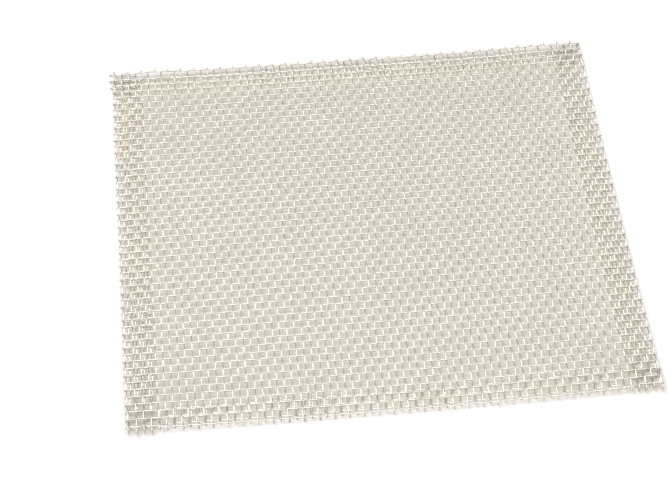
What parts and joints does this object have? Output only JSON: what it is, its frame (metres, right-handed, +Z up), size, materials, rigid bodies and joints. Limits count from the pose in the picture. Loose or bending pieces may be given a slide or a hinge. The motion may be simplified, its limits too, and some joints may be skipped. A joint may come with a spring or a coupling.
{
  "type": "wire gauze",
  "caption": "Square of plain-woven wire cloth with all four edges turned under, for spreading heat below a beaker or flask.",
  "frame": {"origin": "centre of the sheet's outline, on the surface that it lies on", "axes": "+Z up through the sheet, its face side, +X along the straight weft wires, +Y along the crimped warp wires, away from the viewer"},
  "size_m": [0.1016, 0.1002, 0.0027],
  "materials": {
    "wire": "bright drawn wire, satin"
  },
  "bodies": {
    "root": {"warp_bay_1": "wire", "warp_bay_2": "wire", "warp_bay_3": "wire", "warp_bay_4": "wire", "warp_bay_5": "wire", "warp_bay_6": "wire", "warp_bay_7": "wire", "warp_bay_8": "wire", "warp_corner_left": "wire", "warp_corner_right": "wire", "hem_warp_left": "wire", "hem_warp_right": "wire", "weft_front": "wire", "weft_bay_1": "wire", "weft_bay_2": "wire", "weft_bay_3": "wire", "weft_bay_4": "wire", "weft_back": "wire", "hem_weft_front": "wire", "hem_weft_back": "wire"}
  },
  "joints": []
}
